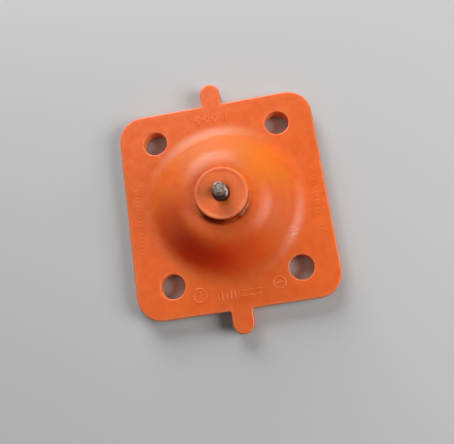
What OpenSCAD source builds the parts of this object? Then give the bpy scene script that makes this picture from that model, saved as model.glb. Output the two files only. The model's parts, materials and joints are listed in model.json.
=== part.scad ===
// Silicone diaphragm of a weir-type valve, with a steel stud moulded into its boss.
// Millimetres. +Z runs up the stud and +Y along the line of the tabs.
// The origin is on the stud's axis, at the level of the rim bead's lowest line.

/* [Flange] */
// Width of the flange, from side to side
flange_w = 73; // [68:0.5:80]
// Length of the flange, along the line of the tabs
flange_l = 77; // [74:0.5:84]
// Thickness of the flange
flange_t = 5.5; // [4:0.1:7]
// Radius of the flange's corners, seen from above
corner_r = 9; // [6:0.5:12]
// Rounding of the upper and lower edges
edge_r = 0.6; // [0.3:0.1:1]

/* [Bolt holes] */
// Distance between hole centres across the flange
hole_pitch_x = 46; // [45:0.5:50]
// Distance between hole centres along the flange
hole_pitch_y = 54; // [52:0.5:58]
// Diameter of a bolt hole
hole_d = 8.8; // [6:0.1:9]

/* [Tabs] */
// Width of a tab
tab_w = 7.6; // [5:0.1:12]
// How far a tab stands out from the flange
tab_reach = 8.4; // [5:0.1:12]
// Radius of the inner corners where a tab leaves the flange
tab_root_r = 1; // [0.5:0.1:2]

/* [Dome] */
// Radius at which the dome rises from the flange
foot_r = 30.5; // [28:0.1:31]
// Radius of the flat crown round the boss
crown_r = 10; // [9.7:0.1:12]
// Height of the crown above the flange's upper face
dome_h = 12.2; // [9:0.1:15]
// Radius of the bend between flank and crown
crown_bend_r = 11; // [7:0.1:12]
// Radius of the bend between flank and flange
foot_bend_r = 9; // [6:0.1:11]
// Thickness of the dome's wall
dome_wall = 3.4; // [2.6:0.1:4]
// Rounding of the hollow's mouth
mouth_r = 2.6; // [1.5:0.1:4]

/* [Sealing beads] */
// Height of the round bead under the flange
rim_bead_h = 0.8; // [0.5:0.1:1.2]
// Width of the round bead
rim_bead_w = 1.8; // [1.2:0.1:2.4]
// Flat land between the mouth and the round bead
rim_bead_land = 0.4; // [0.2:0.1:1]
// Height of the straight bead that closes on the weir
weir_bead_h = 1.2; // [0.6:0.1:1.6]
// Width of the straight bead
weir_bead_w = 3.6; // [2:0.1:5]

/* [Boss] */
// Diameter of the boss
boss_d = 17.8; // [16:0.1:19]
// Height of the boss above the crown
boss_h = 3.8; // [3:0.1:6]
// Width of the raised rim round the boss's face
boss_rim_w = 0.9; // [0.5:0.1:2]
// Depth of the face inside the rim
boss_dish = 0.25; // [0.1:0.05:0.6]
// Radius of the bend where the boss meets the crown
boss_root_r = 0.8; // [0.4:0.1:1.2]

/* [Stud insert] */
// Outer diameter of the stud's thread
stud_d = 5; // [4:0.1:6.4]
// How far the stud stands out of the boss's rim
stud_reach = 6.9; // [5:0.1:14]
// Chamfer on the stud's tip
stud_chamfer = 0.75; // [0.3:0.05:1]
// Diameter of the plain neck between the collar and the thread
neck_d = 4.1; // [3.2:0.1:4.6]
// How far the neck stands out of the boss's rim
neck_rise = 0.2; // [0.1:0.05:0.8]
// Diameter of the plain collar between the head and the neck
collar_d = 6.6; // [6.4:0.1:8]
// Size of the hexagonal head across its flats
head_af = 10; // [8:0.1:12]
// Thickness of the head
head_t = 2; // [1.5:0.1:2.5]
// Silicone over the head, up to the boss's rim
head_cover = 2.9; // [2.2:0.1:3.5]
// How much wider than the thread the relief groove round the neck is, on each side
relief_w = 0.45; // [0.2:0.05:0.7]
// Depth of the relief groove below the boss's rim, down to the collar
relief_depth = 0.9; // [0.6:0.1:1.5]
// Gap between the insert and the silicone, none where they are bonded
bond_gap = 0; // [0:0.01:0.05]

/* [Hidden] */
silicone_colour = [0.87, 0.40, 0.19];
steel_colour = [0.62, 0.61, 0.59];
// How far a cutting shape runs past the face that it cuts
overcut = 1;
// Straight pieces along a bend of the dome
bend_steps = 16;
round_fn = 96;
edge_fn = 24;

// Levels, counted up from the rim bead's lowest line
flange_low = rim_bead_h;
flange_top = flange_low + flange_t;
crown_top = flange_top + dome_h;
boss_top = crown_top + boss_h;
stud_top = boss_top + stud_reach;
thread_low = boss_top + neck_rise;
thread_top = stud_top - stud_chamfer;
head_top = boss_top - head_cover;
head_low = head_top - head_t;
collar_top = boss_top - relief_depth;

// The two bends are shortened alike where the dome has no room for them
bend_room = (pow(foot_r - crown_r, 2) + pow(dome_h, 2)) / (2 * dome_h);
bend_fit = min(1, bend_room / (crown_bend_r + foot_bend_r));
crown_bend = crown_bend_r * bend_fit;
foot_bend = foot_bend_r * bend_fit;

// Centres of the bends in the dome's section, [radius, height], and the flank that touches both
crown_centre = [crown_r, crown_top - crown_bend];
foot_centre = [foot_r, flange_top + foot_bend];
centre_run = foot_centre - crown_centre;
flank_normal = atan2(centre_run[1], centre_run[0]) + acos((crown_bend + foot_bend) / norm(centre_run));

// The hollow's flank lies one wall inside the dome's, and its mouth bends out to the flange's underside
hollow_flank = crown_centre + (crown_bend - dome_wall) * heading(flank_normal);
mouth_run = (hollow_flank[1] - flange_low - mouth_r * (1 - sin(flank_normal))) / cos(flank_normal);
mouth_edge_r = hollow_flank[0] + mouth_run * sin(flank_normal) + mouth_r * cos(flank_normal);
mouth_centre = [mouth_edge_r, flange_low + mouth_r];
rim_bead_r = mouth_edge_r + rim_bead_land + rim_bead_w / 2;

function heading(angle) = [cos(angle), sin(angle)];

// Points along a bend of radius r about a centre
function bend(centre, r, from, to) =
    [for (step = [0 : bend_steps]) centre + r * heading(from + (to - from) * step / bend_steps)];

module diaphragm_body() {
    color(silicone_colour)
    difference() {
        union() {
            flange();
            dome();
            boss();
            rim_bead();
        }
        // The first hollow leaves the straight bead standing, and the second trims it to its height
        difference() {
            hollow(0);
            weir_bead_slab();
        }
        hollow(weir_bead_h);
        bolt_holes();
        insert_seat();
    }
}

module stud_insert() {
    color(steel_colour) {
        insert_root(0);
        translate([0, 0, head_low])
            cylinder(d = neck_d, h = thread_low - head_low, $fn = round_fn);
        translate([0, 0, thread_low])
            cylinder(d = stud_d, h = thread_top - thread_low, $fn = round_fn);
        translate([0, 0, thread_top])
            cylinder(d1 = stud_d, d2 = stud_d - 2 * stud_chamfer, h = stud_chamfer, $fn = round_fn);
    }
}

// A plate with rounded corners and edges: two bars crossed, with a round puck in each corner
module flange() {
    translate([0, 0, flange_low]) {
        edged_bar(flange_w, flange_l - 2 * corner_r);
        rotate([0, 0, 90])
            edged_bar(flange_l, flange_w - 2 * corner_r);
        for (x = [-1, 1], y = [-1, 1])
            translate([x * (flange_w / 2 - corner_r), y * (flange_l / 2 - corner_r), 0])
                puck(corner_r);
        for (side = [0, 1])
            mirror([0, side, 0])
                tab();
    }
}

// A tab on the +Y edge, with a full round end
module tab() {
    tab_run = tab_reach + corner_r - tab_w / 2;
    translate([0, flange_l / 2 - corner_r + tab_run / 2, 0])
        edged_bar(tab_w, tab_run);
    translate([0, flange_l / 2 + tab_reach - tab_w / 2, 0])
        puck(tab_w / 2);
    for (side = [0, 1])
        mirror([side, 0, 0])
            translate([tab_w / 2, flange_l / 2, 0])
                tab_root();
}

// The web in the inner corner between tab and flange, its edges rounded like theirs
module tab_root() {
    web = tab_root_r + edge_r;
    difference() {
        translate([-edge_r, -edge_r, 0])
            cube([web, web, flange_t]);
        translate([tab_root_r, tab_root_r, 0])
            rotate_extrude($fn = round_fn)
                difference() {
                    translate([0, -overcut])
                        square([web, flange_t + 2 * overcut]);
                    translate([tab_root_r + web, 0])
                        mirror([1, 0])
                            edged_section(web);
                }
    }
}

// A bar along Y with its long edges rounded
module edged_bar(width, run) {
    rotate([90, 0, 0])
        linear_extrude(height = run, center = true)
            for (side = [0, 1])
                mirror([side, 0])
                    edged_section(width / 2);
}

module puck(r) {
    rotate_extrude($fn = round_fn)
        edged_section(r);
}

// Section of the plate from its middle out to reach
module edged_section(reach) {
    square([reach - edge_r, flange_t]);
    translate([0, edge_r])
        square([reach, flange_t - 2 * edge_r]);
    for (level = [edge_r, flange_t - edge_r])
        translate([reach - edge_r, level])
            circle(r = edge_r, $fn = edge_fn);
}

module dome() {
    rotate_extrude($fn = round_fn)
        polygon(concat(
            [[0, flange_low + flange_t / 2], [0, crown_top]],
            bend(crown_centre, crown_bend, 90, flank_normal),
            bend(foot_centre, foot_bend, flank_normal + 180, 270),
            [[foot_r, flange_low + flange_t / 2]]
        ));
}

// The space under the dome, drawn in from its wall by inset
module hollow(inset) {
    rotate_extrude($fn = round_fn)
        polygon(concat(
            [[0, -overcut], [0, crown_top - dome_wall - inset]],
            bend(crown_centre, crown_bend - dome_wall - inset, 90, flank_normal),
            bend(mouth_centre, mouth_r + inset, flank_normal + 180, 270),
            [[mouth_edge_r, -overcut]]
        ));
}

module weir_bead_slab() {
    translate([-weir_bead_w / 2, -flange_l / 2, 0])
        cube([weir_bead_w, flange_l, crown_top]);
}

// A low bead whose underside is an arc of the given width and height
module rim_bead() {
    arc_r = (pow(rim_bead_w / 2, 2) + pow(rim_bead_h, 2)) / (2 * rim_bead_h);
    rotate_extrude($fn = round_fn)
        intersection() {
            translate([rim_bead_r, arc_r])
                circle(r = arc_r, $fn = edge_fn * 2);
            translate([rim_bead_r - rim_bead_w / 2, 0])
                square([rim_bead_w, flange_low + edge_r]);
        }
}

module boss() {
    rotate_extrude($fn = round_fn)
        difference() {
            union() {
                translate([0, crown_top - dome_wall / 2])
                    square([boss_d / 2, boss_h + dome_wall / 2 - edge_r]);
                translate([0, boss_top - edge_r])
                    square([boss_d / 2 - edge_r, edge_r]);
                translate([boss_d / 2 - edge_r, boss_top - edge_r])
                    circle(r = edge_r, $fn = edge_fn);
                translate([0, crown_top - dome_wall / 2])
                    square([boss_d / 2 + boss_root_r, dome_wall / 2 + boss_root_r]);
            }
            translate([boss_d / 2 + boss_root_r, crown_top + boss_root_r])
                circle(r = boss_root_r, $fn = edge_fn);
            translate([0, boss_top - boss_dish])
                square([boss_d / 2 - boss_rim_w, boss_dish + overcut]);
        }
}

module bolt_holes() {
    for (x = [-1, 1], y = [-1, 1])
        translate([x * hole_pitch_x / 2, y * hole_pitch_y / 2, -overcut])
            cylinder(d = hole_d, h = flange_top + 2 * overcut, $fn = round_fn);
}

// Room for the insert, with the relief groove round its neck
module insert_seat() {
    insert_root(bond_gap);
    translate([0, 0, collar_top])
        cylinder(d = stud_d + 2 * relief_w, h = relief_depth + overcut, $fn = round_fn);
}

// The head and collar that the silicone holds, grown by gap
module insert_root(gap) {
    translate([0, 0, head_low - gap])
        cylinder(d = (head_af + 2 * gap) / cos(30), h = head_t + 2 * gap, $fn = 6);
    translate([0, 0, head_low])
        cylinder(d = collar_d + 2 * gap, h = collar_top - head_low, $fn = round_fn);
}

diaphragm_body();
stud_insert();
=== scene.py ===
"""A silicone diaphragm for a weir valve: one orange moulding with a threaded steel stud bonded
into its boss. Sizes are in millimetres and are turned into metres as each mesh is made."""

import json
import math

import bmesh
import bpy
from mathutils import Matrix, Vector, noise
from mathutils.geometry import delaunay_2d_cdt


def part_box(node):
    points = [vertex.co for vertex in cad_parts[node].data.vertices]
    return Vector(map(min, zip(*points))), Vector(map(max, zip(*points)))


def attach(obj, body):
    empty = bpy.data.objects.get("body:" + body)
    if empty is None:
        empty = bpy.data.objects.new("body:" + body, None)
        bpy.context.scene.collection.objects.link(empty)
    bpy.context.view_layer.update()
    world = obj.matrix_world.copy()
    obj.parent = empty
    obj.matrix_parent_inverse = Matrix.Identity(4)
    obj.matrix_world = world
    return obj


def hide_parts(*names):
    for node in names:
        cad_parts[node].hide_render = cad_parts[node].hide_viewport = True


MM = 0.001
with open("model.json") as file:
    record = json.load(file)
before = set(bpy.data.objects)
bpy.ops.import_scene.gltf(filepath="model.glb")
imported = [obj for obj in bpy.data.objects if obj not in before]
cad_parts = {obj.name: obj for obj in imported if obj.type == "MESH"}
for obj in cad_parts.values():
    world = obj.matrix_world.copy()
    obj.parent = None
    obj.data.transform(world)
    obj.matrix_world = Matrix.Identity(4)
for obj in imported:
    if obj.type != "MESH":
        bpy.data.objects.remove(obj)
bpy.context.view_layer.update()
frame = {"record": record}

# Levels and places that the frame gives
mounts = {m["name"]: m for m in frame["record"]["mounts"]}
body_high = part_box("diaphragm_body")[1] / MM
bolts = mounts["flange_bolts"]["dims"]
thread = mounts["stud"]["dims"]
thread_middle = mounts["stud"]["pos_m"][2] / MM
flange_top = mounts["bonnet_face"]["pos_m"][2] / MM
flange_low = mounts["body_face"]["pos_m"][2] / MM
half_w = body_high.x
tab_tip = body_high.y
boss_top = body_high.z
stud_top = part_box("stud_insert")[1].z / MM
hole_x = bolts["spacing_x_mm"] / 2
hole_y = bolts["spacing_y_mm"] / 2
hole_r = bolts["hole_r_mm"]
stud_r = thread["r_mm"]
thread_low = thread_middle - thread["length_mm"] / 2
stud_chamfer = stud_top - thread_middle - thread["length_mm"] / 2

# Flange, tabs, bolt holes and their edges
half_l = 38.5
corner_r = 9.0
tab_r = 3.8
tab_root_r = 1.0
edge_r = 0.6
hole_edge_r = 0.35
hole_low_edge_r = 0.2
holes = [(x, y) for x in (-hole_x, hole_x) for y in (-hole_y, hole_y)]
top_rim_r = hole_r + hole_edge_r
low_rim_r = hole_r + hole_low_edge_r

# The parting line round the edge: how far the edge is drawn in beside it, and the half heights of
# the line's crest, of its foot and of the stretch that is drawn in fully
flash_depth = 0.06
flash_crest_h = 0.05
flash_foot_h = 0.16
flash_side_h = 0.4

# Dome, hollow and beads
foot_r = 30.5
crown_r = 10.0
crown_top = 18.5
crown_bend_r = 11.0
foot_bend_r = 9.0
dome_wall = 3.4
mouth_r = 2.6
weir_bead_h = 1.2
weir_bead_w = 3.6
weir_bead_flank = 0.5
rim_bead_w = 1.8
rim_bead_land = 0.4

# Boss, and the insert held in it
boss_r = 8.9
boss_edge_r = 0.4
boss_dish = 0.25
lip_low_r = 7.2
lip_w = 1.15
boss_root_r = 0.8
relief_r = 2.95
relief_edge = 0.12
collar_r = 3.3
collar_top = boss_top - 0.9
head_top = boss_top - 2.9
head_low = head_top - 2.0
head_half_af = 5.0
insert_gap = 0.01

# Neck, thread with its worn first turns, and the dented end face. The groove's half width and the
# width of its flank are shares of the pitch.
neck_r = 2.05
tip_r = 1.6
tip_dent = 0.07
lead_r = 2.0
lead_slope = 0.2
thread_pitch = 0.8
thread_depth = stud_r - neck_r
thread_run_in = 0.35
groove_half_w = 0.44
groove_flank = 0.32

# Raised marks on the flange: height, width on top and width at the foot
bold_mark = (0.17, 0.3, 0.62)
faint_mark = (0.06, 0.14, 0.38)

# How finely the meshes are cut: numbers of points and steps
ring_points = 240
hole_points = 96
ring_mark_points = 24
bend_steps = 18
edge_steps = 6
corner_steps = 24
tab_steps = 36
root_steps = 8
bead_steps = 10
flank_steps = 5
boss_side_rings = 4
thread_rows = 170
weir_bead_rows = 110

# Distances between points, radii of the rings on the boss's face, and radii of the rings on the
# stud's tip as shares of tip_r
outline_step = 0.7
flat_step = 1.3
boss_side_step = 0.6
boss_face_rings = (5.0, 6.6)
tip_rings = (0.92, 0.8, 0.65, 0.5, 0.35, 0.18)
border = 0.3
mark_step = 0.15
mark_border = 0.15
mark_clear = 0.7
closest_points = 0.07
weld_distance = 0.0002

# Bands of the dome where shade, light and a sheen are painted: inner radius and fade, outer radius and
# fade
flank_shade_band = (12.5, 7, 28.5, 6)
crease_shade_band = (17.5, 3, 24.5, 3)
sheen_band = (8.5, 4, 31, 3)
golden_light_band = (8.5, 2, 28, 6)

# Sectors round the stud, in degrees: start, end and fade beyond them
flank_shade_sectors = ((190, 292, 28), (230, 254, 36))
crease_shade_sector = (228, 256, 24)
sheen_sector = (62, 125, 28)
golden_light_sector = (18, 50, 36)
scuff_highlight_sector = (325, 329, 6)
thick_dirt_and_shade_sectors = ((228, 262, 26), (299, 301, 10))
thin_shade_sector = (270, 318, 14)
shade_line_sector = (60, 350, 20)
dust_and_reflection_sector = (304, 330, 6)
reflection_streak_sector = (347, 353, 5)
shaded_turns_sector = (170, 302, 24)
far_turns_sector = (10, 140, 20)
lit_turns_sector = (90, 190, 40)

# Paleness of edges, partly rubbed wear and partly a painted edge highlight: on the flange's sides and
# its upper face, on the boss's face, and how much more on its rim
side_wear_and_highlight = 0.5
border_wear_and_highlight = 0.35
boss_wear_and_highlight = 0.25
boss_rim_wear_and_highlight = 0.3


def heading(angle):
    """Unit vector at an angle in degrees, as (along, up) or (x, y)."""
    return math.cos(math.radians(angle)), math.sin(math.radians(angle))


def bend(centre, r, start, end, steps=bend_steps):
    """Points along an arc about centre, from one angle to another, in degrees."""
    points = []
    for k in range(steps + 1):
        c, s = heading(start + (end - start) * k / steps)
        points.append((centre[0] + r * c, centre[1] + r * s))
    return points


def circle(r, centre=(0, 0), points=ring_points):
    return bend(centre, r, 0, 360, points)[:-1]


def smooth(x):
    """0 below 0, 1 above 1, and a smooth step between."""
    x = max(0.0, min(1.0, x))
    return x * x * (3 - 2 * x)


# The dome's section: two bends and the flank that touches both, as in the part's source
crown_centre = (crown_r, crown_top - crown_bend_r)
foot_centre = (foot_r, flange_top + foot_bend_r)
run_r = foot_centre[0] - crown_centre[0]
run_z = foot_centre[1] - crown_centre[1]
flank_normal = math.degrees(
    math.atan2(run_z, run_r) + math.acos((crown_bend_r + foot_bend_r) / math.hypot(run_r, run_z))
)
flank_c, flank_s = heading(flank_normal)
hollow_bend_r = crown_bend_r - dome_wall
hollow_flank = (crown_centre[0] + hollow_bend_r * flank_c, crown_centre[1] + hollow_bend_r * flank_s)
mouth_run = (hollow_flank[1] - flange_low - mouth_r * (1 - flank_s)) / flank_c
mouth_edge_r = hollow_flank[0] + mouth_run * flank_s + mouth_r * flank_c
mouth_centre = (mouth_edge_r, flange_low + mouth_r)
rim_bead_r = mouth_edge_r + rim_bead_land + rim_bead_w / 2


class Skin:
    """A closed surface, put together from rings and flat patches in millimetres."""

    def __init__(self):
        self.bm = bmesh.new()

    def ring(self, points):
        return [self.bm.verts.new(p) for p in points]

    def bridge(self, rings):
        """Joins closed rings of equal length, each to the next."""
        for a, b in zip(rings, rings[1:]):
            for k in range(len(a)):
                n = (k + 1) % len(a)
                self.bm.faces.new((a[k], a[n], b[n], b[k]))

    def cap(self, ring, centre):
        tip = self.bm.verts.new(centre)
        for k in range(len(ring)):
            self.bm.faces.new((ring[k], ring[(k + 1) % len(ring)], tip))

    def lathe(self, section, radius_at=None):
        """Turns (radius, height) points about Z, where radius_at(r, angle) may change a radius."""
        rings = []
        for r, z in section:
            points = []
            for k in range(ring_points):
                angle = 360 * k / ring_points
                c, s = heading(angle)
                here = radius_at(r, angle) if radius_at else r
                points.append((here * c, here * s, z))
            rings.append(self.ring(points))
        self.bridge(rings)
        return rings

    def patch(self, loops, loose, height, keep):
        """Fills the area between closed loops of (x, y) with triangles, using the loose points too."""
        flat, edges = [], []
        for loop in loops:
            start = len(flat)
            flat += loop
            edges += [(start + k, start + (k + 1) % len(loop)) for k in range(len(loop))]
        flat += loose
        inside_edges, tolerance = 1, 1e-6
        done = delaunay_2d_cdt([Vector(p) for p in flat], edges, [], inside_edges, tolerance)
        verts = [self.bm.verts.new((p.x, p.y, height(p.x, p.y))) for p in done[0]]
        for face in done[2]:
            middle = sum((done[0][k] for k in face), Vector((0, 0))) / len(face)
            if keep(middle.x, middle.y):
                self.bm.faces.new([verts[k] for k in face])
        for v in verts:
            if not v.link_faces:
                self.bm.verts.remove(v)

    def finish(self, name, sharp_angle, fields):
        """Welds the seams, turns faces outwards, stores the fields and makes the object in metres."""
        bmesh.ops.remove_doubles(self.bm, verts=self.bm.verts, dist=weld_distance)
        bmesh.ops.recalc_face_normals(self.bm, faces=self.bm.faces)
        for field, value_at in fields.items():
            layer = self.bm.verts.layers.float.new(field)
            for v in self.bm.verts:
                v[layer] = value_at(v.co)
        self.bm.transform(Matrix.Scale(MM, 4))
        mesh = bpy.data.meshes.new(name)
        self.bm.to_mesh(mesh)
        self.bm.free()
        mesh.shade_smooth()
        mesh.set_sharp_from_angle(angle=math.radians(sharp_angle))
        made = bpy.data.objects.new(name, mesh)
        bpy.context.scene.collection.objects.link(made)
        return made


def hexagon(r, angle):
    """Distance of a hexagon's side at an angle, where r is half its size across the flats."""
    return r / math.cos(math.radians(angle % 60 - 30))


def straight(start, end, normal):
    """Outline points (x, y, normal x, normal y) from start up to, but without, end."""
    steps = max(1, round(math.dist(start, end) / outline_step))
    return [
        (start[0] + (end[0] - start[0]) * k / steps, start[1] + (end[1] - start[1]) * k / steps, *normal)
        for k in range(steps)
    ]


def turned(centre, r, start, end, steps, side=1):
    """Outline points along an arc, without its last; side is -1 where silicone lies outside the arc."""
    points = []
    for k in range(steps):
        c, s = heading(start + (end - start) * k / steps)
        points.append((centre[0] + r * c, centre[1] + r * s, side * c, side * s))
    return points


def flange_outline():
    """The flange seen from above with both tabs: half of it, then the same half turned round."""
    root_x = tab_r + tab_root_r
    root_y = half_l + tab_root_r
    side_y = half_l - corner_r
    half = (
        straight((half_w, 0), (half_w, side_y), (1, 0))
        + turned((half_w - corner_r, side_y), corner_r, 0, 90, corner_steps)
        + straight((half_w - corner_r, half_l), (root_x, half_l), (0, 1))
        + turned((root_x, root_y), tab_root_r, 270, 180, root_steps, -1)
        + straight((tab_r, root_y), (tab_r, tab_tip - tab_r), (1, 0))
        + turned((0, tab_tip - tab_r), tab_r, 0, 180, tab_steps)
        + straight((-tab_r, tab_tip - tab_r), (-tab_r, root_y), (-1, 0))
        + turned((-root_x, root_y), tab_root_r, 0, -90, root_steps, -1)
        + straight((-root_x, half_l), (corner_r - half_w, half_l), (0, 1))
        + turned((corner_r - half_w, side_y), corner_r, 90, 180, corner_steps)
        + straight((-half_w, side_y), (-half_w, 0), (-1, 0))
    )
    return half + [(-x, -y, -nx, -ny) for x, y, nx, ny in half]


def edge_section(r, line_depth=0):
    """(inset, height) down the flange's rounded edge, with the parting line as a ridge half-way."""
    turns = [heading(90 - 90 * k / edge_steps) for k in range(edge_steps + 1)]
    upper = [(r * (1 - c), flange_top - r + r * s) for c, s in turns]
    lower = [(inset, flange_low + flange_top - z) for inset, z in reversed(upper)]
    if not line_depth:
        return upper + lower
    middle = (flange_top + flange_low) / 2
    ridge = [(line_depth, middle + flash_side_h), (line_depth, middle + flash_foot_h)]
    ridge += [(0, middle + flash_crest_h)]
    return upper + ridge + [(inset, 2 * middle - z) for inset, z in reversed(ridge)] + lower


def bar(x, y, run_x, run_y):
    """A straight mark about its middle."""
    return [(x - run_x / 2, y - run_y / 2), (x + run_x / 2, y + run_y / 2)]


def ring_mark(x, y, r):
    return circle(r, (x, y), ring_mark_points) + [(x + r, y)]


def dial(x, y, r, hand):
    """A round mould dial: a ring, twelve ticks inside it and a hand."""
    marks = [ring_mark(x, y, r)]
    for hour in range(12):
        c, s = heading(30 * hour)
        marks.append([(x + 0.78 * r * c, y + 0.78 * r * s), (x + r * c, y + r * s)])
    c, s = heading(hand)
    marks.append([(x - 0.25 * r * c, y - 0.25 * r * s), (x + 0.5 * r * c, y + 0.5 * r * s)])
    return marks


def flange_marks():
    """Plain mould marks with their sizes: dials, bars, lozenges, and faint ticks down both sides."""
    row = 33.0
    marks = dial(-14.0, -31.6, 2.5, 60)
    for k in range(5):
        marks.append(bar(-7.6 + 1.5 * k, -row, 0, 2.6 if k % 2 else 1.6))
    for k in range(3):
        marks.append(bar(1.6 + 2.6 * k, -row + 0.9, 1.5, 0))
        marks.append(bar(1.6 + 2.6 * k, -row - 0.9, 1.5, 0))
    marks += [ring_mark(14.4, -31.2, 2.1), bar(14.4, -31.2, 2.0, 0.5)]
    for k in range(3):
        x = -5.6 + 3.0 * k
        marks.append([(x - 1.0, row), (x, row + 1.6), (x + 1.0, row), (x, row - 1.6), (x - 1.0, row)])
    for k in range(4):
        marks.append(bar(3.1 + 1.4 * k, row, 0, 2.8))
    ticks = []
    for k in range(17):
        tick_w = 1.6 if k % 4 == 0 else 0.8
        ticks.append(bar(-32.2, -14.0 + 1.5 * k, tick_w, 0))
        ticks.append(bar(32.4, -15.0 + 1.5 * k, tick_w, 0))
    return [(bold_mark, mark) for mark in marks] + [(faint_mark, tick) for tick in ticks]


def stroke_points(mark):
    """Middle points of a mark's strokes, each with its direction and whether the mark ends there."""
    points = []
    for a, b in zip(mark, mark[1:]):
        length = math.dist(a, b)
        along = ((b[0] - a[0]) / length, (b[1] - a[1]) / length)
        steps = max(1, math.ceil(length / mark_step))
        points += [
            (a[0] + along[0] * length * k / steps, a[1] + along[1] * length * k / steps, *along)
            for k in range(steps + 1)
        ]
    open_ended = mark[0] != mark[-1]
    return [(*point, open_ended and k in (0, len(points) - 1)) for k, point in enumerate(points)]


class MarkRelief:
    """Height of the raised marks over the flange, looked up in a coarse grid of their stroke points."""

    def __init__(self):
        self.cells = {}
        self.strokes = []
        for size, mark in flange_marks():
            for x, y, dx, dy, at_end in stroke_points(mark):
                self.strokes.append((size, x, y, dx, dy, at_end))
                self.cells.setdefault((math.floor(x), math.floor(y)), []).append((size, x, y))

    def near(self, x, y):
        """(size, distance) of the stroke points in the cells round a place."""
        return [
            (size, math.dist((x, y), (px, py)))
            for i in (-1, 0, 1) for j in (-1, 0, 1)
            for size, px, py in self.cells.get((math.floor(x) + i, math.floor(y) + j), ())
        ]

    def height(self, x, y):
        highest = 0.0
        for (high, top_w, foot_w), distance in self.near(x, y):
            share = (foot_w / 2 - distance) / (foot_w / 2 - top_w / 2)
            highest = max(highest, high * min(1.0, share))
        return highest

    def points(self):
        """Rows of points along the strokes' tops, feet and just outside them, and round their ends."""
        found = {}
        for (high, top_w, foot_w), x, y, dx, dy, at_end in self.strokes:
            for offset in (0, top_w / 2, foot_w / 2, foot_w / 2 + mark_border):
                for turn in range(0, 360, 30) if at_end else (90, 270):
                    c, s = heading(turn)
                    p = (x + offset * (dx * c - dy * s), y + offset * (dy * c + dx * s))
                    found.setdefault((round(p[0] / closest_points), round(p[1] / closest_points)), p)
        return list(found.values())

    def flat_points(self):
        """A staggered net over the flange's flat, clear of its edges and marks, for small faces."""
        points = []
        rows, columns = round(half_l / flat_step), round(half_w / flat_step)
        for j in range(-rows, rows + 1):
            for i in range(-columns, columns + 1):
                x, y = (i + 0.5 * (j % 2)) * flat_step, j * flat_step
                from_marks = min((distance for size, distance in self.near(x, y)), default=1.0)
                from_sides = min(from_edge(x, y), math.hypot(x, y) - foot_r)
                if from_sides > 2 * border and from_marks > mark_clear:
                    points.append((x, y))
        return points


def from_edge(x, y):
    """Distance inwards from where the flange's rounded edge, or the rim of a bolt hole, starts."""
    past_x, past_y = abs(x) - half_w + corner_r, abs(y) - half_l + corner_r
    past = math.hypot(past_x, past_y) if min(past_x, past_y) > 0 else max(past_x, past_y)
    along_tab = math.hypot(x, max(0, abs(y) - tab_tip + tab_r))
    inwards = max(corner_r - past, tab_r - along_tab) - edge_r
    return min(inwards, math.hypot(abs(x) - hole_x, abs(y) - hole_y) - hole_r - hole_edge_r)


def outer_edge(skin, outline):
    skin.bridge([
        skin.ring([(x - inset * nx, y - inset * ny, z) for x, y, nx, ny in outline])
        for inset, z in edge_section(edge_r, flash_depth)
    ])


def bolt_holes(skin):
    """Holes with softly rounded rims, tighter below, where the round bead runs close by."""
    section = edge_section(hole_edge_r)[:edge_steps + 1] + edge_section(hole_low_edge_r)[edge_steps + 1:]
    for place in holes:
        skin.bridge([
            skin.ring([(x, y, z) for x, y in circle(hole_r + inset, place, hole_points)])
            for inset, z in section
        ])


def dome_and_boss(skin):
    """The pocket that holds the insert, then the boss's face and side, the dome and its foot."""
    face_z = boss_top - boss_dish
    section = [(head_half_af, head_low), (head_half_af, head_top), (collar_r, head_top)]
    section += [(collar_r, collar_top), (relief_r, collar_top), (relief_r, face_z - relief_edge)]
    section += [(r, face_z) for r in (relief_r + relief_edge, *boss_face_rings)]
    section += [
        (lip_low_r + lip_w * k / edge_steps, face_z + boss_dish * smooth(k / edge_steps))
        for k in range(edge_steps + 1)
    ]
    edge_z = boss_top - boss_edge_r
    section += bend((boss_r - boss_edge_r, edge_z), boss_edge_r, 90, 0, edge_steps)
    section += [(boss_r, edge_z - boss_side_step * k) for k in range(1, boss_side_rings + 1)]
    section += bend((boss_r + boss_root_r, crown_top + boss_root_r), boss_root_r, 180, 270, root_steps)
    section += bend(crown_centre, crown_bend_r, 90, flank_normal)
    foot = bend(foot_centre, foot_bend_r, flank_normal + 180, 270)

    # Rings on the straight flank, so that the fields can change there
    (top_r, top_z), (low_r, low_z) = section[-1], foot[0]
    section += [
        (top_r + (low_r - top_r) * k / flank_steps, top_z + (low_z - top_z) * k / flank_steps)
        for k in range(1, flank_steps)
    ]
    rings = skin.lathe(section + foot, lambda r, a: hexagon(r, a) if r == head_half_af else r)
    skin.cap(rings[0], (0, 0, head_low))


def hole_loops(rim_r):
    return [circle(rim_r, place, hole_points) for place in holes]


def flat_loop(outline):
    """Border of the flange's flat faces, where its rounded edge starts."""
    return [(x - edge_r * nx, y - edge_r * ny) for x, y, nx, ny in outline]


def flat_guard(outline):
    """Points just inside the flat faces' borders, which keep those faces flat up to their edges."""
    loop = zip(flat_loop(outline), outline)
    guard = [(x - border * nx, y - border * ny) for (x, y), (_, _, nx, ny) in loop]
    return guard + sum(hole_loops(top_rim_r + border), [])


def on_flange(x, y, inner_r, rim_r):
    """Whether a place on a flat face is outside the circle about the axis and outside the holes."""
    outside = math.hypot(x, y) > inner_r * math.cos(math.pi / ring_points)
    hole_clear = rim_r * math.cos(math.pi / hole_points)
    return outside and math.hypot(abs(x) - hole_x, abs(y) - hole_y) > hole_clear


def flange_face(skin, outline):
    """The flange's upper face round the dome, with its raised marks."""
    relief = MarkRelief()
    skin.patch(
        [flat_loop(outline), circle(foot_r), *hole_loops(top_rim_r)],
        flat_guard(outline) + circle(foot_r + border) + relief.points() + relief.flat_points(),
        lambda x, y: flange_top + relief.height(x, y),
        lambda x, y: on_flange(x, y, foot_r, top_rim_r),
    )


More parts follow.
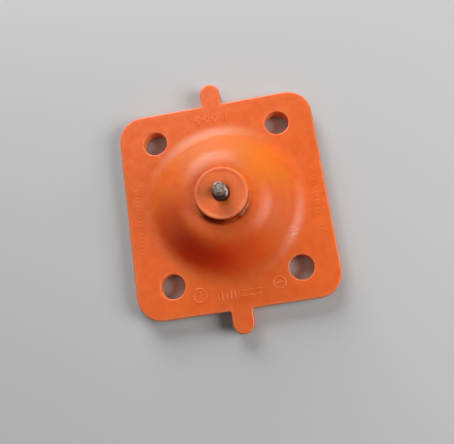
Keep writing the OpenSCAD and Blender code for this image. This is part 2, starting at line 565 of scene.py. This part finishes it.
def underside(skin, outline):
    """The round bead, the flat outside it, and the hollow with the straight bead across it."""
    arc_r = ((rim_bead_w / 2) ** 2 + flange_low ** 2) / (2 * flange_low)
    reach = math.degrees(math.asin(rim_bead_w / 2 / arc_r))
    bead = bend((rim_bead_r, arc_r), arc_r, 270 + reach, 270 - reach, bead_steps)
    skin.lathe(bead + [(mouth_edge_r, flange_low)])
    bead_out_r, bead_foot = bead[0]
    skin.patch(
        [flat_loop(outline), circle(bead_out_r), *hole_loops(low_rim_r)], flat_guard(outline),
        lambda x, y: bead_foot, lambda x, y: on_flange(x, y, bead_out_r, low_rim_r),
    )
    skin.patch([circle(mouth_edge_r)], hollow_points(), hollow_height, lambda x, y: True)


def hollow_section(inset):
    """(radius, height) of the hollow's skin from mouth to middle, drawn into the space by inset."""
    return (
        bend(mouth_centre, mouth_r + inset, 270, flank_normal + 180)
        + bend(crown_centre, hollow_bend_r - inset, flank_normal, 90)
        + [(0, crown_top - dome_wall - inset)]
    )


def height_at(section, r):
    """Height of a section at a radius, where its radii fall all the way."""
    for (r0, z0), (r1, z1) in zip(section, section[1:]):
        if r1 <= r <= r0:
            share = (r0 - r) / (r0 - r1) if r0 > r1 else 0
            return z0 + (z1 - z0) * share
    return section[0][1]


hollow_skin = hollow_section(0)
weir_bead_skin = hollow_section(weir_bead_h)


def hollow_height(x, y):
    r = math.hypot(x, y)
    if r > mouth_edge_r - 1e-4:
        return flange_low
    plain = height_at(hollow_skin, r)
    raised = max(flange_low, height_at(weir_bead_skin, r))
    aside = abs(x) - weir_bead_w / 2
    return raised + (plain - raised) * smooth((aside + weir_bead_flank) / weir_bead_flank)


def hollow_points():
    """Loose points for the hollow: rings that follow its section, and rows along the straight bead."""
    first_flank_r, flank_gap = mouth_edge_r - 3.9, 1.1
    crown_gap, sparse_r = 1.5, 12
    rings = [r for r, z in hollow_skin if r > 0.5] + [r + 0.35 for r, z in hollow_skin[bend_steps:-1]]
    rings += [first_flank_r - flank_gap * k for k in range(8)] + [crown_gap * k for k in range(2, 7)]
    points = []
    for r in sorted(set(round(r, 3) for r in rings if r < mouth_edge_r - 0.1)):
        for k in range(ring_points):
            c, s = heading(360 * (k + 0.5) / ring_points)
            if abs(r * c) > weir_bead_w / 2 + border and (k % 2 == 0 or r > sparse_r):
                points.append((r * c, r * s))

    # The bead's flanks need close rows, and its flat top a few
    rows_at = [weir_bead_w / 2 - weir_bead_flank * t for t in (0, 0.2, 0.4, 0.6, 0.8, 1.0)] + [0.7, 0]
    for x in rows_at:
        reach = math.sqrt((mouth_edge_r - 0.15) ** 2 - x * x)
        for side in ((1, -1) if x else (1,)):
            for k in range(weir_bead_rows + 1):
                points.append((side * x, reach * (2 * k / weir_bead_rows - 1)))
    return points


def silicone_body():
    skin = Skin()
    outline = flange_outline()
    outer_edge(skin, outline)
    bolt_holes(skin)
    dome_and_boss(skin)
    flange_face(skin, outline)
    underside(skin, outline)
    # Besides wear, dirt and dust, these fields carry painted shade, painted light, a painted sheen,
    # painted highlights and a painted reflection
    fields = {
        "wear_and_edge_highlight": edge_wear_and_highlight, "dirt_and_shade": boss_dirt_and_shade, "dust_and_reflection": boss_dust_and_reflection, "scuffs_and_highlight": scuffs_and_highlight,
        "deep": painted_flank_shade, "painted_crease_shade": painted_crease_shade, "painted_sheen": painted_sheen, "painted_golden_light": painted_golden_light,
    }
    return skin.finish("silicone_moulding", 50, fields)


def round_stud(place):
    """A place's distance from the stud's axis, and its angle round it in degrees from +X."""
    return math.hypot(place.x, place.y), math.degrees(math.atan2(place.y, place.x)) % 360


def between(angle, sector):
    """1 inside a sector, fading out beyond it."""
    start, end, fade = sector
    return smooth((angle - start) / fade + 1) * smooth((end - angle) / fade + 1)


def edge_wear_and_highlight(place):
    """How pale edges are, up to 1, partly rubbed and partly a painted edge highlight: the flange's
    edges, the boss's rim and less its face.
    """
    r, angle = round_stud(place)
    if r > foot_r:
        depth = min(flange_top - place.z, place.z - flange_low)
        if depth > 0.01:
            return side_wear_and_highlight * smooth((edge_r - depth) / 0.2)
        return border_wear_and_highlight * smooth(1 - from_edge(place.x, place.y) / 0.4)
    if r > boss_r + 0.01 or place.z < crown_top:
        return 0.0
    on_rim = smooth((r - lip_low_r - 0.4) / 0.5)
    return (boss_wear_and_highlight + boss_rim_wear_and_highlight * on_rim) * smooth((place.z - boss_top + 0.6) / 0.3)


def scuffs_and_highlight(place):
    """1 where the dome's foot is scratched, at the spot where its highlight falls: the pale streaks are
    partly scratches and partly painted highlight.
    """
    r, angle = round_stud(place)
    scuffed_r, reach, fade = 26.2, 2.2, 1.2
    if place.z <= flange_top:
        return 0.0
    return smooth((reach - abs(r - scuffed_r)) / fade) * between(angle, scuff_highlight_sector)


def dome_zone(place, band):
    """1 in a band of the dome, rising over a fade from its inner and outer border, and the angle."""
    r, angle = round_stud(place)
    if place.z < flange_top:
        return 0.0, angle
    inner_r, inner_fade, outer_r, outer_fade = band
    return smooth((r - inner_r) / inner_fade) * smooth((outer_r - r) / outer_fade), angle


def painted_flank_shade(place):
    """Up to 1 on the dome's flank where shade is painted: a deeper, redder orange stands in for the
    flank's shade.
    """
    zone, angle = dome_zone(place, flank_shade_band)
    wide, middle = (between(angle, sector) for sector in flank_shade_sectors)
    return zone * (0.5 * wide + 0.5 * middle)


def painted_crease_shade(place):
    """1 low on the dome's flank where the painted shade is darkest."""
    zone, angle = dome_zone(place, crease_shade_band)
    return zone * between(angle, crease_shade_sector)


def painted_sheen(place):
    """1 on the dome's crown and flank, on the side the key lamp lights, where a pale sheen is painted on
    the silicone.
    """
    zone, angle = dome_zone(place, sheen_band)
    return zone * between(angle, sheen_sector)


def painted_golden_light(place):
    """1 on the dome's crown and flank, on the brightly lit side, where light is painted as a more golden
    orange.
    """
    zone, angle = dome_zone(place, golden_light_band)
    return zone * between(angle, golden_light_sector)


def boss_corner(place, reach, low):
    """1 at the boss's foot, up to low under its top and fading over reach outwards, and the angle."""
    r, angle = round_stud(place)
    if r < boss_r - 0.01 or place.z < crown_top - 1:
        return 0.0, angle
    return smooth((boss_top - low - place.z) / 0.5) * smooth((boss_r + reach - r) / (0.6 * reach)), angle


def boss_dirt_and_shade(place):
    """1 at the boss's foot, where a dark red crescent of painted shade and a spot of dirt lie, and less
    in the fine line of painted shade in the corner round the rest of it.
    """
    deep, angle = boss_corner(place, 1.9, 0.3)
    fine, angle = boss_corner(place, 0.6, 1.8)
    thick = max(between(angle, sector) for sector in thick_dirt_and_shade_sectors)
    thinner = 0.65 * between(angle, thin_shade_sector)
    return max(max(thick, thinner) * deep, 0.6 * fine * between(angle, shade_line_sector))


def boss_dust_and_reflection(place):
    """1 in a short pale streak of painted reflection, and less in a patch where pale dust and a painted
    reflection lie on the dirt and painted shade.
    """
    deep, angle = boss_corner(place, 1.7, 2.4)
    streak, angle = boss_corner(place, 0.8, 1.0)
    return max(0.8 * deep * between(angle, dust_and_reflection_sector), streak * between(angle, reflection_streak_sector))


def crest_r(z):
    """Radius of the thread's crests: chamfered at the tip, and worn down over the first turns."""
    depth = stud_top - z
    return min(stud_r, tip_r + (stud_r - tip_r) / stud_chamfer * depth, lead_r + lead_slope * depth)


def thread_r(angle, z):
    """Radius of the neck and thread, whose helical groove runs in from the plain neck."""
    turn = (z / thread_pitch - angle / 360) % 1
    groove = thread_depth * smooth((groove_half_w - abs(turn - 0.5)) / groove_flank)
    r = neck_r + (thread_depth - groove) * smooth((z - thread_low) / thread_run_in)
    return min(r, crest_r(z))


def tip_height(x, y):
    """The stud's end face, dented by handling."""
    dent = noise.noise(Vector((x, y, 3.1)) * 1.3) + 0.5 * noise.noise(Vector((x, 0.4 * y, 7.7)) * 3.0)
    return stud_top - tip_dent * abs(dent)


def threaded_stud():
    """The insert: hexagonal head, collar and neck in their pocket, and the thread up to its tip."""
    skin = Skin()
    head_side, head_foot = head_half_af - insert_gap, head_low + insert_gap
    collar_side, collar_foot = collar_r - insert_gap, head_top - insert_gap
    root = [(head_side, head_foot), (head_side, collar_foot), (collar_side, collar_foot)]
    root += [(collar_side, collar_top), (neck_r, collar_top)]
    rings = skin.lathe(root, lambda r, a: hexagon(r, a) if r > collar_r else r)
    skin.cap(rings[0], (0, 0, head_foot))
    rings = rings[-1:]
    for row in range(1, thread_rows + 1):
        z = collar_top + (stud_top - collar_top) * row / thread_rows
        points = []
        for k in range(ring_points):
            angle = 360 * k / ring_points
            c, s = heading(angle)
            r = thread_r(angle, z)
            points.append((r * c, r * s, z))
        rings.append(skin.ring(points))
    for share in tip_rings:
        rings.append(skin.ring([(x, y, tip_height(x, y)) for x, y in circle(share * tip_r)]))
    skin.bridge(rings)
    skin.cap(rings[-1], (0, 0, tip_height(0, 0)))
    return skin.finish("threaded_stud", 40, {"dirt_and_shade": thread_dirt_and_shade, "silicone_skin_and_shade": neck_silicone_and_shade})


def thread_dirt_and_shade(place):
    """1 in the thread's groove and round its lower turns, most on their shaded side and less on their
    far side, but not up at the tip: partly dirt and oil, partly painted shade.
    """
    r, angle = round_stud(place)
    groove = smooth((crest_r(place.z) - 0.05 - r) / 0.22)
    dark, stained = between(angle, shaded_turns_sector), between(angle, far_turns_sector)
    round_turns = 0.15 + 0.75 * dark + 0.45 * stained
    lower_turns = round_turns * smooth((stud_top - 1.2 - place.z) / 0.6)
    unshaded_top = 0.2 + 0.3 * between(angle, lit_turns_sector)
    return max(groove, lower_turns) * smooth((stud_top - unshaded_top - place.z) / 0.25)


def neck_silicone_and_shade(place):
    """1 low on the neck and on the collar, in the groove round the stud, where a skin of silicone is
    painted dark red for the shade there.
    """
    return smooth((boss_top + 0.2 - place.z) / 0.4)


def socket_values(shader, **values):
    for name, value in values.items():
        shader.inputs[name.replace("_", " ")].default_value = value


def new_material(name):
    made = bpy.data.materials.new(name)
    made.use_nodes = True
    nodes = made.node_tree.nodes
    return made, nodes, made.node_tree.links, nodes["Principled BSDF"]


def noise_node(nodes, links, coordinates, scale, detail, roughness):
    made = nodes.new("ShaderNodeTexNoise")
    made.inputs["Scale"].default_value = scale
    made.inputs["Detail"].default_value = detail
    made.inputs["Roughness"].default_value = roughness
    links.new(coordinates, made.inputs["Vector"])
    return made.outputs["Fac"]


def ramp_node(nodes, links, source, stops):
    """A colour that runs between stops, each (place, colour), as the source does."""
    made = nodes.new("ShaderNodeValToRGB")
    for element, (place, colour) in zip(made.color_ramp.elements, stops):
        element.position = place
        element.color = (*colour, 1)
    links.new(source, made.inputs["Fac"])
    return made.outputs["Color"]


def level_node(nodes, links, source, stops):
    """A number that runs between stops, each (place, number), as the source does."""
    return ramp_node(nodes, links, source, [(place, (level,) * 3) for place, level in stops])


def field_node(nodes, field):
    made = nodes.new("ShaderNodeAttribute")
    made.attribute_name = field
    return made.outputs["Fac"]


def math_node(nodes, links, operation, a, b):
    """a and b combined by the operation, where b may be a number."""
    made = nodes.new("ShaderNodeMath")
    made.operation = operation
    links.new(a, made.inputs[0])
    if isinstance(b, float):
        made.inputs[1].default_value = b
    else:
        links.new(b, made.inputs[1])
    return made.outputs["Value"]


def covered_node(nodes, links, base, field, most, colour):
    """base with a colour over it, its share the field times most, which may be a number."""
    made = nodes.new("ShaderNodeMix")
    made.data_type = "RGBA"
    share = math_node(nodes, links, "MULTIPLY", field_node(nodes, field), most)
    links.new(share, made.inputs["Factor"])
    links.new(base, made.inputs[6])
    made.inputs[7].default_value = (*colour, 1)
    return made.outputs[2]


def bump_node(nodes, links, height, distance, strength, under=None):
    made = nodes.new("ShaderNodeBump")
    made.inputs["Distance"].default_value = distance
    made.inputs["Strength"].default_value = strength
    links.new(height, made.inputs["Height"])
    if under:
        links.new(under, made.inputs["Normal"])
    return made.outputs["Normal"]


# The silicone's own colour, and tones over it that paint shade, light and a sheen: field, its greatest
# share and colour
silicone_colours = ((0.3, (0.73, 0.118, 0.003)), (0.7, (0.82, 0.155, 0.006)))
flank_shade_share = 0.85
silicone_tones = (
    # painted shade on the dome's flank, as a deeper red
    ("deep", flank_shade_share, (0.85, 0.046, 0.001)),
    ("painted_crease_shade", 0.45, (0.62, 0.022, 0.001)),
    ("painted_golden_light", 0.7, (0.74, 0.178, 0.001)),
    ("painted_sheen", 0.5, (0.58, 0.150, 0.018)),
)

# Rubbed, dirty and dusty places, with painted edge highlights, painted shade, a painted reflection and a
# painted highlight among them: field, its greatest share as a speckle changes it, and colour
silicone_specks = (
    ("wear_and_edge_highlight", ((0.40, 0.45), (0.60, 0.80)), (0.82, 0.34, 0.18)),
    ("dirt_and_shade", ((0.38, 0.75), (0.55, 1.0)), (0.24, 0.006, 0.001)),
    ("dust_and_reflection", ((0.45, 0.0), (0.60, 0.85)), (0.52, 0.30, 0.17)),
)
scratch_highlight_share = ((0.50, 0.0), (0.62, 0.35))
scratch_highlight_colour = (0.90, 0.50, 0.38)

# The steel's own colour, and what covers it: dirt with painted shade, and a skin of silicone painted
# dark with shade
steel_colours = ((0.40, (0.14, 0.105, 0.085)), (0.60, (0.47, 0.375, 0.325)))
steel_dirt_and_shade_share = 0.95
steel_dirt_and_shade_colour = (0.020, 0.010, 0.006)
silicone_skin_shade_colour = (0.16, 0.022, 0.004)


def silicone_material():
    made, nodes, links, shader = new_material("orange_silicone")
    where = nodes.new("ShaderNodeTexCoord").outputs["Object"]
    cloudy = noise_node(nodes, links, where, 300, 5, 0.65)
    colour = ramp_node(nodes, links, cloudy, silicone_colours)
    for field, most, tone in silicone_tones:
        colour = covered_node(nodes, links, colour, field, most, tone)
    speckle = noise_node(nodes, links, where, 1100, 4, 0.7)
    for field, stops, tone in silicone_specks:
        most = level_node(nodes, links, speckle, stops)
        colour = covered_node(nodes, links, colour, field, most, tone)
    # Pale scratch streaks, partly scratches and partly painted highlight
    drawn_out = nodes.new("ShaderNodeMapping")
    drawn_out.inputs["Scale"].default_value = (0.15, 2.2, 1)
    links.new(where, drawn_out.inputs["Vector"])
    scratches = noise_node(nodes, links, drawn_out.outputs["Vector"], 1200, 2, 0.5)
    most = level_node(nodes, links, scratches, scratch_highlight_share)
    colour = covered_node(nodes, links, colour, "scuffs_and_highlight", most, scratch_highlight_colour)
    links.new(colour, shader.inputs["Base Color"])

    # Gloss: uneven all over, and matt where shade is painted on the flank and where dirt and painted
    # shade lie
    uneven = noise_node(nodes, links, where, 300, 4, 0.6)
    rough = level_node(nodes, links, uneven, [(0.3, 0.34), (0.7, 0.50)])
    links.new(rough, shader.inputs["Roughness"])
    deep = math_node(nodes, links, "MULTIPLY", field_node(nodes, "deep"), flank_shade_share)
    matt = math_node(nodes, links, "MAXIMUM", deep, field_node(nodes, "dirt_and_shade"))
    dull = level_node(nodes, links, matt, [(0.0, 0.5), (1.0, 0.06)])
    links.new(dull, shader.inputs["Specular IOR Level"])
    fine = bump_node(nodes, links, noise_node(nodes, links, where, 2500, 3, 0.6), 0.00003, 0.5)
    broad = bump_node(nodes, links, noise_node(nodes, links, where, 260, 3, 0.6), 0.0002, 0.3, fine)
    links.new(broad, shader.inputs["Normal"])
    socket_values(shader, Subsurface_Weight=1.0, Subsurface_Scale=0.0015, IOR=1.45)
    shader.inputs["Subsurface Radius"].default_value = (1.0, 0.2, 0.06)
    return made


def steel_material():
    made, nodes, links, shader = new_material("worn_steel")
    where = nodes.new("ShaderNodeTexCoord").outputs["Object"]
    stain = noise_node(nodes, links, where, 900, 5, 0.65)
    colour = ramp_node(nodes, links, stain, steel_colours)
    colour = covered_node(nodes, links, colour, "dirt_and_shade", steel_dirt_and_shade_share, steel_dirt_and_shade_colour)
    colour = covered_node(nodes, links, colour, "silicone_skin_and_shade", 1.0, silicone_skin_shade_colour)
    links.new(colour, shader.inputs["Base Color"])

    # Metal shows only where neither dirt with painted shade nor the shaded skin of silicone covers it
    dirty = math_node(nodes, links, "MULTIPLY", field_node(nodes, "dirt_and_shade"), steel_dirt_and_shade_share)
    covered = math_node(nodes, links, "MAXIMUM", dirty, field_node(nodes, "silicone_skin_and_shade"))
    bare = level_node(nodes, links, covered, [(0.0, 0.9), (1.0, 0.0)])
    links.new(bare, shader.inputs["Metallic"])
    rough = level_node(nodes, links, stain, [(0.3, 0.62), (0.7, 0.42)])
    links.new(rough, shader.inputs["Roughness"])
    links.new(bump_node(nodes, links, stain, 0.00006, 0.35), shader.inputs["Normal"])
    socket_values(shader, Specular_IOR_Level=0.2)
    return made


def dress(piece, material, node):
    piece.data.materials.clear()
    piece.data.materials.append(material)
    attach(piece, "root")
    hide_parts(node)


dress(silicone_body(), silicone_material(), "diaphragm_body")
dress(threaded_stud(), steel_material(), "stud_insert")

# Studio, in metres: where the floor fades away, how far off the lamps stand, and how bright floor
# and room are for their bounce and where they are seen
floor_fade = (0.12, 0.55)
lamp_distance = 0.6
floor_levels = (0.05, 0.5)
room_levels = (0.01, 0.3)


def shown_background(nodes, links):
    """1 for rays that see the background, straight, mirrored or through glass, and 0 for its bounce."""
    rays = nodes.new("ShaderNodeLightPath")
    found = rays.outputs["Is Camera Ray"]
    for kind in ("Is Glossy Ray", "Is Transmission Ray"):
        found = math_node(nodes, links, "MAXIMUM", found, rays.outputs[kind])
    return found


def range_node(nodes, links, source, levels, places=(0.0, 1.0)):
    """A value that runs smoothly from one level to another as the source goes between two places."""
    made = nodes.new("ShaderNodeMapRange")
    made.interpolation_type = "SMOOTHSTEP"
    for name, value in zip(("From Min", "From Max", "To Min", "To Max"), (*places, *levels)):
        made.inputs[name].default_value = value
    links.new(source, made.inputs["Value"])
    return made.outputs["Result"]


def pale_floor():
    """A floor that fades away round the object and runs softly into the backdrop."""
    mesh = bpy.data.meshes.new("studio_floor")
    reach = floor_fade[1]
    corners = [(reach * x, reach * y, 0) for x, y in ((-1, -1), (1, -1), (1, 1), (-1, 1))]
    mesh.from_pydata(corners, [], [(0, 1, 2, 3)])
    floor = bpy.data.objects.new("studio_floor", mesh)
    bpy.context.scene.collection.objects.link(floor)
    made, nodes, links, shader = new_material("pale_floor")
    bright = range_node(nodes, links, shown_background(nodes, links), floor_levels)
    links.new(bright, shader.inputs["Base Color"])
    distance = nodes.new("ShaderNodeVectorMath")
    distance.operation = "LENGTH"
    links.new(nodes.new("ShaderNodeTexCoord").outputs["Object"], distance.inputs[0])
    fade = range_node(nodes, links, distance.outputs["Value"], (1.0, 0.0), floor_fade)
    links.new(fade, shader.inputs["Alpha"])
    socket_values(shader, Roughness=0.85)
    mesh.materials.append(made)


def area_light(name, azimuth, elevation, size, power):
    """A soft box that looks at the object from a direction, with its angles in degrees."""
    data = bpy.data.lights.new(name, "AREA")
    data.shape = "RECTANGLE"
    data.size, data.size_y = size
    data.energy = power
    lamp = bpy.data.objects.new(name, data)
    c, s = heading(azimuth)
    ce, se = heading(elevation)
    place = Vector((c * ce, s * ce, se)) * lamp_distance
    lamp.location = place
    lamp.rotation_euler = (-place).to_track_quat("-Z", "Y").to_euler()
    bpy.context.scene.collection.objects.link(lamp)


def studio():
    pale_floor()
    area_light("key_from_the_top", 102, 26, (0.42, 0.54), 4.8)
    area_light("second_from_the_right", 348, 37, (0.34, 0.34), 2.85)
    area_light("fill_from_the_left", 186, 56, (0.3, 0.3), 0.4)
    world = bpy.data.worlds.new("soft_room")
    bpy.context.scene.world = world
    world.use_nodes = True
    nodes, links = world.node_tree.nodes, world.node_tree.links
    room = nodes["Background"].inputs
    room["Color"].default_value = (1, 1, 1, 1)
    links.new(range_node(nodes, links, shown_background(nodes, links), room_levels), room["Strength"])


def camera():
    """The photograph's camera, found from the flange's edges and holes."""
    data = bpy.data.cameras.new("photo_camera")
    data.sensor_width = 36.0
    data.lens = 37.56
    made = bpy.data.objects.new("photo_camera", data)
    place = Vector((11.148, -39.127, 167.061 + flange_top)) * MM
    right = Vector((0.98460, -0.14539, -0.09706))
    up = Vector((0.16073, 0.97126, 0.17557))
    back = right.cross(up)
    made.matrix_world = Matrix((
        (right.x, up.x, back.x, place.x),
        (right.y, up.y, back.y, place.y),
        (right.z, up.z, back.z, place.z),
        (0, 0, 0, 1),
    ))
    bpy.context.scene.collection.objects.link(made)
    bpy.context.scene.camera = made


studio()
camera()
bpy.context.scene.view_settings.view_transform = "Standard"
